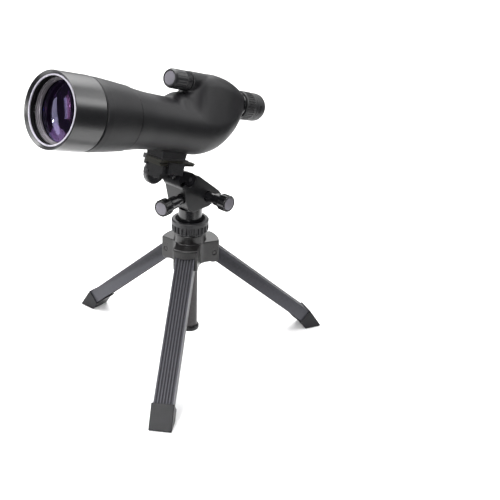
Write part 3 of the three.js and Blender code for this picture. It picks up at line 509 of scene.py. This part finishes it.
# ---- Scope: sunshade and objective ------------------------------------------------------------------
def sunshade():
    profile = fillet([
        (SHADE_R, 0.7), (SHADE_R - 0.5, 0), (35.3, 2.9), (35.2, 8.6), (SHADE_BORE_R, 9.2),
        (SHADE_BORE_R, SHADE_REAR - 0.5), (SHADE_R, SHADE_REAR - 0.5),
    ], 0.4)
    shell = spin("sunshade_shell", profile, SCOPE, 224)
    dressed(shell, "shade", SHADE_METAL, ["sunshade"])
    # the ring's light colour is partly a painted highlight
    trim = spin("sunshade_bright_ring", fillet(band(TRIM_R, 33.3, 2.45, 3.9), 0.2), SCOPE, 224)
    dressed(trim, "shade", BRIGHT_RING, ["sunshade_trim_ring"])
    profile = fillet([(33.7, 4.1), (33.5, 4.4), (33.5, 8.4), (TRIM_R, 8.4), (TRIM_R, 4.1)], 0.2)
    wall = spin("sunshade_black_wall", profile, SCOPE, 192)
    dressed(wall, "shade", INNER_BLACK, ["sunshade_trim_ring"])


def lens_face(edge, apex, radius, steps):
    """A curved face's profile from the axis to the rim, given the stations of its rim and apex."""
    return [(radius * i / steps, apex + (edge - apex) * (i / steps) ** 2) for i in range(steps + 1)]


def objective():
    profile = fillet([
        (TUBE_R, TUBE_FRONT + 0.4), (TUBE_R - 0.4, TUBE_FRONT), (TUBE_BORE_R, TUBE_FRONT), (TUBE_BORE_R, 33),
        (30.5, 34), (30.5, TUBE_REAR), (TUBE_R, TUBE_REAR),
    ], 0.25)
    tube = spin("objective_tube_body", profile, SCOPE, 192)
    dressed(tube, "scope", GLOSS_BLACK, ["objective_tube"])
    stepped = fillet([
        (33.0, 10.2), (32.3, 10.2), (32.1, 11.6), (31.3, 11.8), (31.1, 13.2), (30.6, 13.5),
        (30.4, 15.8), (33.0, 15.8),
    ], 0.18)
    ring = spin("objective_stepped_ring", stepped, SCOPE, 192)
    dressed(ring, "scope", LENS_CELL, ["objective_retaining_ring"])
    front = lens_face(edge=16.9, apex=14, radius=LENS_R, steps=24)
    back = lens_face(edge=18.6, apex=20.6, radius=LENS_R, steps=16)
    glass = spin("objective_front_glass", front + back[::-1], SCOPE, 128)
    dressed(glass, "scope", FRONT_GLASS, ["objective_front_lens"], weighted=False)
    flat_back = 25.2
    front = lens_face(edge=20.9, apex=22.6, radius=LENS_R, steps=24)
    # the inner element is opaque and dark: painted shade of the interior behind it
    inner = spin("objective_inner_glass", front + [(LENS_R, flat_back), (0, flat_back)], SCOPE, 128)
    dressed(inner, "scope", INNER_GLASS, ["objective_rear_lens"], sharp=30, weighted=False)


# ---- Scope: barrel and housing ------------------------------------------------------------------------
def barrel():
    outer = [
        (BARREL_R - 1.1, BARREL_FRONT + 0.4), (BARREL_R, BARREL_FRONT + 1.5), (BARREL_R, 50), (37.3, 60),
        (36.3, 72), (35.2, 84), (34.6, BARREL_REAR),
    ]
    step = TUBE_REAR + 0.3          # where the bore widens for the objective tube
    inner = [(BARREL_BORE_R, BARREL_REAR), (BARREL_BORE_R, step), (36.2, step), (36.2, BARREL_FRONT)]
    cover = spin("front_barrel_cover", fillet(outer + inner, 0.5), SCOPE, 192)
    dressed(cover, "scope", ARMOUR, ["front_barrel"])
    profile = fillet(band(SEAM_R, 30.9, BARREL_REAR - 0.4, HOUSING_FRONT + 0.4), 0.1)
    seam = spin("barrel_seam", profile, SCOPE, 128)
    dressed(seam, "scope", INNER_BLACK, ["barrel_seam_ring"])


def smooth_curve(points):
    """Smooth function through the points that never overshoots between them."""
    x = np.array([point[0] for point in points], float)
    y = np.array([point[1] for point in points], float)
    step = np.diff(x)
    slope = np.diff(y) / step
    tangent = np.zeros(len(x))
    tangent[0] = slope[0]
    tangent[-1] = slope[-1]
    for i in range(1, len(x) - 1):
        if slope[i - 1] * slope[i] > 0:
            tangent[i] = 2 * slope[i - 1] * slope[i] / (slope[i - 1] + slope[i])

    def value(at):
        i = int(np.clip(np.searchsorted(x, at) - 1, 0, len(step) - 1))
        t = (at - x[i]) / step[i]
        bend = step[i] * (tangent[i] * t * (1 - t) ** 2 - tangent[i + 1] * t * t * (1 - t))
        return y[i] + (y[i + 1] - y[i]) * t * t * (3 - 2 * t) + bend
    return value


BELLY_CENTRE = smooth_curve([
    (HOUSING_FRONT, 0), (205, 0), (213, 1), (226, 4), (248, 13.5), (262, 23), (268.4, 29),
    (HOUSING_REAR, EYE_HEIGHT)])
BELLY_HALF_WIDTH = smooth_curve([
    (HOUSING_FRONT, SEAM_R), (122, 31.4), (150, 31), (207, 33.7), (226, 32.8), (248, 27.4), (262, 20.8),
    (HOUSING_REAR, 15.4)])
BELLY_HALF_HEIGHT = smooth_curve([
    (HOUSING_FRONT, SEAM_R), (122, 30.6), (155, 29.4), (213, 31.6), (226, 31), (248, 25.6), (262, 18.6),
    (HOUSING_REAR, 14.4)])
RIDGE_CENTRE = smooth_curve([
    (HOUSING_FRONT, 0), (152, 0), (160, 2), (170, 15.4), (180.4, 20.4), (192, 36.6), (201, 42), (213, 42.8),
    (238, 39.4), (262, 34.8), (HOUSING_REAR, EYE_HEIGHT)])
RIDGE_RADIUS = smooth_curve([
    (HOUSING_FRONT, SEAM_R), (122, 30.6), (150, 29.4), (160, 27.4), (170, 20.6), (180.4, 17.6), (192, 16.6),
    (213, 18.2), (238, 20), (262, 17.6), (HOUSING_REAR, 15.2)])


def support(centre, half_width, half_height, nx, nz):
    """Where an ellipse touches the line square to (nx, nz), and how far out that line is."""
    length = np.hypot(half_width * nx, half_height * nz)
    x = half_width ** 2 * nx / length
    z = centre + half_height ** 2 * nz / length
    return x, z, length + nz * centre


def housing_loft(name, stations, count, inset):
    """The hull of belly and ridge at each station, moved in by inset, with count points round it."""
    angles = np.linspace(0, 2 * math.pi, count, endpoint=False)
    nx = np.cos(angles)
    nz = np.sin(angles)
    vertices = []
    for y in stations:
        ridge = RIDGE_RADIUS(y) - inset
        low = support(BELLY_CENTRE(y), BELLY_HALF_WIDTH(y) - inset, BELLY_HALF_HEIGHT(y) - inset, nx, nz)
        high = support(RIDGE_CENTRE(y), ridge, ridge, nx, nz)
        upper = high[2] > low[2]
        vertices += zip(np.where(upper, high[0], low[0]), np.full(count, y), np.where(upper, high[1], low[1]))
    faces = []
    for row in range(len(stations) - 1):
        for i in range(count):
            j = (i + 1) % count
            faces.append((row * count + i, row * count + j, (row + 1) * count + j, (row + 1) * count + i))
    last = (len(stations) - 1) * count
    faces += [tuple(range(count)), tuple(range(last, last + count))]
    return placed(mesh_object(name, vertices, faces), SCOPE)


def housing():
    wall = 3
    crowding = 1.35                 # over 1, the stations lie closer together towards the eyepiece
    along = np.linspace(0, 1, 90)
    stations = HOUSING_FRONT + (HOUSING_REAR - HOUSING_FRONT) * (1 - (1 - along) ** crowding)
    shell = housing_loft("prism_housing_shell", stations, 144, 0)
    boss = rod("boss", FOCUS_R + 0.4, FOCUS_REAR + 1.8, 222, FOCUS, 96)
    joined(shell, [boss], "UNION")
    moulded(shell, 1.1, 5)
    hollow = housing_loft("hollow", np.linspace(HOUSING_FRONT - 2, HOUSING_REAR - 6, 30), 64, wall)
    bore = rod("bore", 13.1, HOUSING_REAR - 20, HOUSING_REAR + 10, EYE, 64)
    screw_hole = rod("screw_hole", 3.6, 170, 230, FOCUS, 32)
    joined(shell, [hollow, bore, screw_hole], "DIFFERENCE")
    dressed(shell, "scope", ARMOUR, ["prism_housing"], sharp=60, weighted=False)


# ---- Scope: focus knob and eyepiece ------------------------------------------------------------------
def ridges(count, land=0.5):
    """Square-shouldered ribs: 0 on a rib, 1 in a groove."""
    return lambda angle: np.clip((np.cos(count * angle) - math.cos(math.pi * land)) * -3 + 0.5, 0, 1)


def grip_marks(count, width):
    """Narrow grooves with broad lands between them."""
    return lambda angle: np.clip((np.cos(count * angle) - math.cos(math.pi * width)) * 4, 0, 1)


def focus_knob():
    front = [
        (3.4, FOCUS_REAR), (3.4, FOCUS_FRONT + 1.4), (7.9, FOCUS_FRONT + 1.4), (7.9, FOCUS_FRONT),
        (9.4, FOCUS_FRONT), (10.7, FOCUS_FRONT + 2.6, 0.1, 0), (FOCUS_R, FOCUS_FRONT + 5, 0.35, 0),
        (FOCUS_R, FOCUS_REAR - 9.6, 0.35, 0), (FOCUS_R, FOCUS_REAR - 9, 0, 0.0),
        (FOCUS_R, FOCUS_REAR - 8.6, 0, 0.55), (FOCUS_R, FOCUS_REAR - 0.9, 0, 0.55),
        (FOCUS_R - 0.5, FOCUS_REAR, 0, 0.1),
    ]
    knob = spin("focus_knob_grip", fillet(padded(front, 2), 0.35, steps=2), FOCUS, 360,
                [grip_marks(15, 0.22), ridges(45)])
    dressed(knob, "focus_wheel", FOCUS_SATIN, ["focus_knob"])
    disc = end_disc("focus_knob_disc", 7.5, FOCUS_FRONT + 0.1, FOCUS_FRONT + 0.25, FOCUS_FRONT + 0.9, FOCUS)
    dressed(disc, "focus_wheel", CAP_GREY, ["focus_knob_cap"])
    seal = fillet(band(9.4, 3.3, FOCUS_REAR + 0.3, FOCUS_REAR + 1.5), 0.2)
    dressed(spin("focus_seal", seal, FOCUS, 96), "scope", GLOSS_BLACK, ["focus_seal_ring"])


def patch(name, radius, depth, angles, stations, where):
    """A piece of tube wall between two angles and two stations along local y."""
    steps = 10
    turns = np.radians(np.linspace(*angles, steps))
    near, far = stations
    vertices = []
    for r, y in ((radius, near), (radius, far), (radius - depth, far), (radius - depth, near)):
        vertices += [(r * math.cos(a), y, r * math.sin(a)) for a in turns]
    faces = []
    for side in range(4):
        low = side * steps
        high = (side + 1) % 4 * steps
        faces += [(low + i, low + i + 1, high + i + 1, high + i) for i in range(steps - 1)]
    faces += [tuple(side * steps for side in range(4)), tuple(side * steps + steps - 1 for side in range(4))]
    return placed(mesh_object(name, vertices, faces), where)


def eyepiece():
    neck = fillet([
        (EYE_BORE_R, 262), (12.8, 262), (12.8, HOUSING_REAR + 0.3), (15.7, HOUSING_REAR + 0.3),
        (15.7, HOUSING_REAR + 2), (15.2, HOUSING_REAR + 2.5), (15.2, ZOOM_FRONT - 0.3),
        (EYE_BORE_R, ZOOM_FRONT - 0.3),
    ], 0.2)
    dressed(spin("eyepiece_neck", neck, EYE, 128), "scope", GLOSS_BLACK, ["eyepiece_socket"])
    grip = [
        (13.7, ZOOM_REAR), (13.7, ZOOM_FRONT + 3), (EYE_BORE_R, ZOOM_FRONT + 3), (EYE_BORE_R, ZOOM_FRONT),
        (ZOOM_R - 0.5, ZOOM_FRONT), (ZOOM_R - 0.2, ZOOM_FRONT + 2.2), (ZOOM_R, ZOOM_FRONT + 2.5, 0.75),
        (ZOOM_R, ZOOM_REAR - 3.9, 0.75), (ZOOM_R - 0.1, ZOOM_REAR - 3.4), (ZOOM_R - 0.1, ZOOM_REAR),
    ]
    ring = spin("zoom_ring_grip", fillet(padded(grip), 0.3, steps=2), EYE, 432, [ridges(36)])
    dressed(ring, "zoom_wheel", GRIP_RUBBER, ["zoom_ring"])
    cup = fillet([
        (13.8, CUP_FRONT), (16.3, CUP_FRONT), (CUP_R, CUP_FRONT + 0.8), (CUP_R, 296.4), (16.5, 296.8),
        (16.5, 297.2), (CUP_R, 297.6), (CUP_R, 305), (16.3, 308), (15.0, 310.6), (13.2, CUP_REAR),
        (11.8, CUP_REAR), (10.9, 310.2), (11.2, 307), (13.8, 306.4),
    ], 0.8)
    dressed(spin("eyecup_rubber", cup, EYE, 160), "cup", GRIP_RUBBER, ["eyecup"])
    # a thin dark patch laid on the eyecup's surface, darker than the rubber round it
    inset = patch("eyecup_inset", CUP_R + 0.04, 0.4, CUP_PATCH_ANGLES, (298.4, 301.2), EYE)
    dressed(inset, "cup", INNER_BLACK, [])
    ring = fillet([(11.5, 300.4), (13.4, 300.4), (13.4, 306), (10.2, 306), (10.2, 305), (11.5, 304.8)], 0.15)
    dressed(spin("eye_lens_retainer", ring, EYE, 96), "scope", INNER_BLACK, ["eye_lens_ring"])


# ---- Plate, clamp and head ---------------------------------------------------------------------------
def plate_and_clamp():
    for node, width, body, material, slot in (
            ("mount_foot", 0.7, "scope", MOULDED, "moulded_plastic"),
            ("plate_pad", 0.3, "scope", SOFT_RUBBER, "ribbed_rubber"),
            ("quick_release_plate", 0.5, "scope", PLATE, "satin_plastic"),
            ("clamp_base", 0.5, "tilter", MOULDED, "inner_black"),
            # the tilt block takes the darker copy of the moulded black: painted shade
            ("tilt_block", 0.5, "tilter", TILT_SHADED_BLACK, "satin_plastic"),
            ("clamp_jaw", 0.7, "jaw", CLAMP_GREY, "satin_plastic")):
        dressed(bevelled(copied(node + "_shape", node), width), body, material, [node])
    knob_frame = axis_frame("clamp_knob_turn", -1)
    profile = [
        (2.7, 4.4), (2.7, -6), (8, -6), (11, -5.4), (14.6, -5.2, 0.6), (16, -4.0, 1.3), (16, 0.6, 1.3),
        (14.8, 1.8, 0.8), (11.8, 1.8), (11.8, -0.4), (7.4, -0.4), (7.0, 4.2),
    ]
    knob = spin("clamp_knob_rim", fillet(padded(profile), 0.5), knob_frame, 360, [grip_marks(10, 0.16)])
    dressed(knob, "clamp_wheel", CLAMP_GREY, ["clamp_knob"])


def lock_knob(prefix, body, joint, stand_off):
    """Fluted knob on a flared stem; local -y points out along the joint's axis."""
    where = axis_frame(joint, -1)
    end = -stand_off - KNOB_LENGTH
    profile = [
        (2.8, 2.6), (2.8, end + 1.3), (7.7, end + 1.3), (7.7, end), (8.9, end), (KNOB_R, end + 1.1, 0.5),
        (KNOB_R, end + 2, 1.2), (KNOB_R, -stand_off - 1.6, 1.2), (KNOB_R - 0.7, -stand_off, 0.3),
        (8.0, -stand_off + 0.4), (7.4, -stand_off + 3), (7.1, -13.2), (5.6, -12.4), (5.6, 2.6),
    ]
    knob = spin(prefix + "_grip", fillet(padded(profile), 0.4), where, 224, [ridges(14, 0.62)])
    dressed(knob, body, KNOB_BLACK, [prefix + "_knob"])
    disc = end_disc(prefix + "_disc", 7.3, end - 0.1, end + 0.15, end + 0.9, where)
    dressed(disc, body, CAP_GREY, [prefix + "_knob_cap"])


def head():
    casting = moulded(copied("head_body_casting", "head_body"), 0.42, 16)
    dressed(casting, "head", MOULDED, ["head_body"], sharp=180, weighted=False)
    lock_knob("pan_lock", "pan_lock", "pan_lock_turn", 27)
    lock_knob("tilt_lock", "tilt_lock", "tilt_lock_turn", 22)
    base = fillet([
        (0, COLUMN_TOP + 0.4), (COLUMN_R + 0.3, COLUMN_TOP + 0.4), (COLUMN_R + 0.3, NECK_BOTTOM),
        (12.2, NECK_BOTTOM), (NECK_R, NECK_BOTTOM + 2.4), (NECK_R, NECK_TOP), (9, NECK_TOP),
        (9, 218), (0, 218),
    ], 0.4, closed=False)
    dressed(spin("pan_base_neck", base, STAND, 144), "column", GLOSS_BLACK, ["pan_base"])


# ---- Column, collar and crown -------------------------------------------------------------------------
def column():
    bore_r = COLUMN_R - 2
    tube = fillet(band(COLUMN_R, bore_r, COLUMN_BOTTOM, COLUMN_TOP), 0.2)
    shaft = spin("centre_column_tube", tube, STAND, 128)
    dressed(shaft, "column", COLUMN_METAL, ["centre_column"])
    cap = fillet([
        (0, CAP_BOTTOM), (CAP_R - 0.9, CAP_BOTTOM), (CAP_R, CAP_BOTTOM + 1), (CAP_R, COLUMN_BOTTOM - 1.8),
        (10.6, COLUMN_BOTTOM - 0.3), (7.2, COLUMN_BOTTOM - 0.3), (7.2, COLUMN_BOTTOM + 12),
        (0, COLUMN_BOTTOM + 12),
    ], 0.4, closed=False)
    dressed(spin("column_foot_cap", cap, STAND, 96), "column", MOULDED, ["column_end_cap"])
    top = COLLAR_TOP
    profile = [
        (13.8, COLLAR_BOTTOM), (COLLAR_R - 1.5, COLLAR_BOTTOM), (COLLAR_R - 1.0, COLLAR_BOTTOM + 1.2),
        (COLLAR_R - 0.2, COLLAR_BOTTOM + 2, 1.2), (COLLAR_R, COLLAR_BOTTOM + 2.6, 1.9),
        (COLLAR_R, top - 6.2, 1.9), (COLLAR_R, top - 5.4), (COLLAR_R, top - 1.3), (COLLAR_R - 1.3, top),
        (17.8, top), (17.2, top - 0.8), (14.8, top - 4), (14.8, 168), (10.5, 168), (10.5, 166.6),
        (13.8, 166.6),
    ]
    collar = spin("locking_collar_grip", fillet(padded(profile), 0.45), STAND, 384, [ridges(24, 0.36)])
    dressed(collar, "collar", FOCUS_SATIN, ["locking_collar"])


def crown():
    casting = moulded(copied("crown_casting", "crown"), 0.5, 8)
    dressed(casting, "tripod", HUB_GREY, ["crown"], sharp=180, weighted=False)


def legs():
    for k, body in enumerate(("leg_a", "leg_b", "leg_c"), start=1):
        leg = bevelled(copied(f"leg_{k}_channel", f"leg_{k}"), 0.25, 2, 35)
        dressed(leg, body, LEG_METAL, [f"leg_{k}"])
        shoe = moulded(copied(f"foot_shoe_{k}_cap", f"foot_shoe_{k}"), 0.45, 6)
        dressed(shoe, body, SHOE, [f"foot_shoe_{k}"], sharp=180, weighted=False)
        pin = bevelled(copied(f"leg_pin_{k}_rivet", f"leg_pin_{k}"), 0.4, 2)
        dressed(pin, "tripod", HUB_GREY, [f"leg_pin_{k}"])


def inner_pieces():
    """Nodes that keep their CAD shape, hidden inside or nearly so."""
    looks = (
        (INNER_BLACK, ["objective_spacer_ring", "prism_carriage", "eyepiece_barrel", "column_collet"]),
        (INNER_GLASS, ["porro_prism_rear", "porro_prism_front"]),
        (INNER_GLASS, ["zoom_front_lens_group", "zoom_rear_lens_group"]),
        (FRONT_GLASS, ["eye_lens"]),
        (STEEL, ["focus_screw", "plate_screw", "clamp_screw", "pan_lock_screw", "tilt_lock_screw"]),
        (BRASS, ["thread_insert"]),
        (MOULDED, ["tilt_pin"]),
    )
    for material, nodes in looks:
        for node in nodes:
            mesh = frame["nodes"][node].data
            mesh.materials.clear()
            mesh.materials.append(material)


# ---- Floor, lights and camera ---------------------------------------------------------------------------
# metres ahead of the column and right of it, as the camera looks
FLOOR_CORNERS = [(-0.34, -0.9), (-0.34, 0.34), (0.3, 0.54), (3.2, 1.35), (3.2, -1.5), (0.3, -1.0)]


def floor():
    """A pale table top that fills the camera's view."""
    yaw = math.radians(CAMERA_YAW)
    ahead = Vector((-math.sin(yaw), math.cos(yaw), 0))
    right = Vector((math.cos(yaw), math.sin(yaw), 0))
    corners = [COLUMN_AT + ahead * far + right * side for far, side in FLOOR_CORNERS]
    made = mesh_object("floor", corners, [tuple(range(len(corners)))])
    shader = Shader("pale_floor")
    cloud = shader.noise(shader.place((2,) * 3), 3, 0.5)
    shader.link(shader.colour(cloud, (0.90, 0.90, 0.90), (0.93, 0.93, 0.93)), "Base Color")
    shader.set(roughness=0.7)
    made.data.materials.append(shader.material)


def area_light(name, at, target, width, height, power, roll=0):
    """A softbox aimed at target; roll turns it about that line, in degrees."""
    lamp = bpy.data.lights.new(name, "AREA")
    lamp.shape = "RECTANGLE"
    lamp.size = width
    lamp.size_y = height
    lamp.energy = power
    holder = bpy.data.objects.new(name, lamp)
    holder.location = at
    aimed = (Vector(target) - Vector(at)).to_track_quat("-Z", "Y").to_matrix()
    holder.rotation_euler = (aimed @ Matrix.Rotation(math.radians(roll), 3, "Z")).to_euler()
    bpy.context.scene.collection.objects.link(holder)


def lights():
    """Softboxes, each with its place and target in metres, its size in metres and its power in watts."""
    middle = (0.03, 0, 0.25)
    lens = (0.03, -0.16, 0.34)
    area_light("overhead_softbox", (-0.2, 0.2, 1.8), (-0.2, 0.2, 0), 1.8, 1.8, 42)
    area_light("backdrop_softbox", (-1.2, 1.9, 2.1), (-1.2, 1.9, 0), 2.4, 2.4, 75)
    area_light("right_softbox", (0.50, 1.05, 0.90), middle, 1.0, 0.55, 3.8)
    area_light("housing_softbox", (0.84, 0.86, 0.80), middle, 0.42, 0.35, 1.8)
    area_light("left_softbox", (-1.25, -1.05, 1.15), middle, 0.9, 0.6, 4)
    area_light("left_table_softbox", (-0.6, -0.6, 1.3), (-0.3, -0.3, 0), 0.7, 0.7, 9)
    area_light("front_softbox", (0.25, -1.0, 1.45), (0.08, -0.08, 0.1), 0.5, 0.4, 6)
    area_light("shoe_softbox", (0.50, -1.10, 0.75), (0.13, -0.12, 0.02), 0.3, 0.3, 11)
    area_light("back_softbox", (-1.25, 1.15, 1.0), middle, 1.8, 0.8, 6)
    area_light("strip_light", (-1.57, -1.34, 0.35), lens, 0.20, 0.60, 1.3, 36)
    area_light("short_strip_light", (-1.49, -1.42, 0.22), lens, 0.24, 0.30, 0.25, 36)
    area_light("small_lamp", (-1.60, -1.32, 0.28), lens, 0.04, 0.04, 0.4, 45)
    world = bpy.data.worlds.new("studio")
    world.use_nodes = True
    background = world.node_tree.nodes["Background"]
    background.inputs["Color"].default_value = (0.92, 0.93, 1.0, 1)
    background.inputs["Strength"].default_value = 0.08
    bpy.context.scene.world = world
    bpy.context.scene.view_settings.view_transform = "Standard"


def camera():
    yaw = math.radians(CAMERA_YAW)
    pitch = math.radians(CAMERA_PITCH)
    roll = math.radians(CAMERA_ROLL)
    lens = bpy.data.cameras.new("camera")
    lens.sensor_width = 36
    lens.lens = FOCAL_LENGTH
    holder = bpy.data.objects.new("camera", lens)
    ahead = Vector((-math.sin(yaw) * math.cos(pitch), math.cos(yaw) * math.cos(pitch), -math.sin(pitch)))
    level = Vector((math.cos(yaw), math.sin(yaw), 0))
    above = level.cross(ahead)
    right = level * math.cos(roll) + above * math.sin(roll)
    up = above * math.cos(roll) - level * math.sin(roll)
    matrix = Matrix.Identity(4)
    for column_index, axis in enumerate((right, up, -ahead)):
        matrix.col[column_index][:3] = axis
    matrix.col[3][:3] = COLUMN_AT + Vector(CAMERA_FROM_COLUMN)
    holder.matrix_world = matrix
    bpy.context.scene.collection.objects.link(holder)
    bpy.context.scene.camera = holder


camera()
sunshade()
objective()
barrel()
housing()
focus_knob()
eyepiece()
plate_and_clamp()
head()
column()
crown()
legs()
inner_pieces()
floor()
lights()
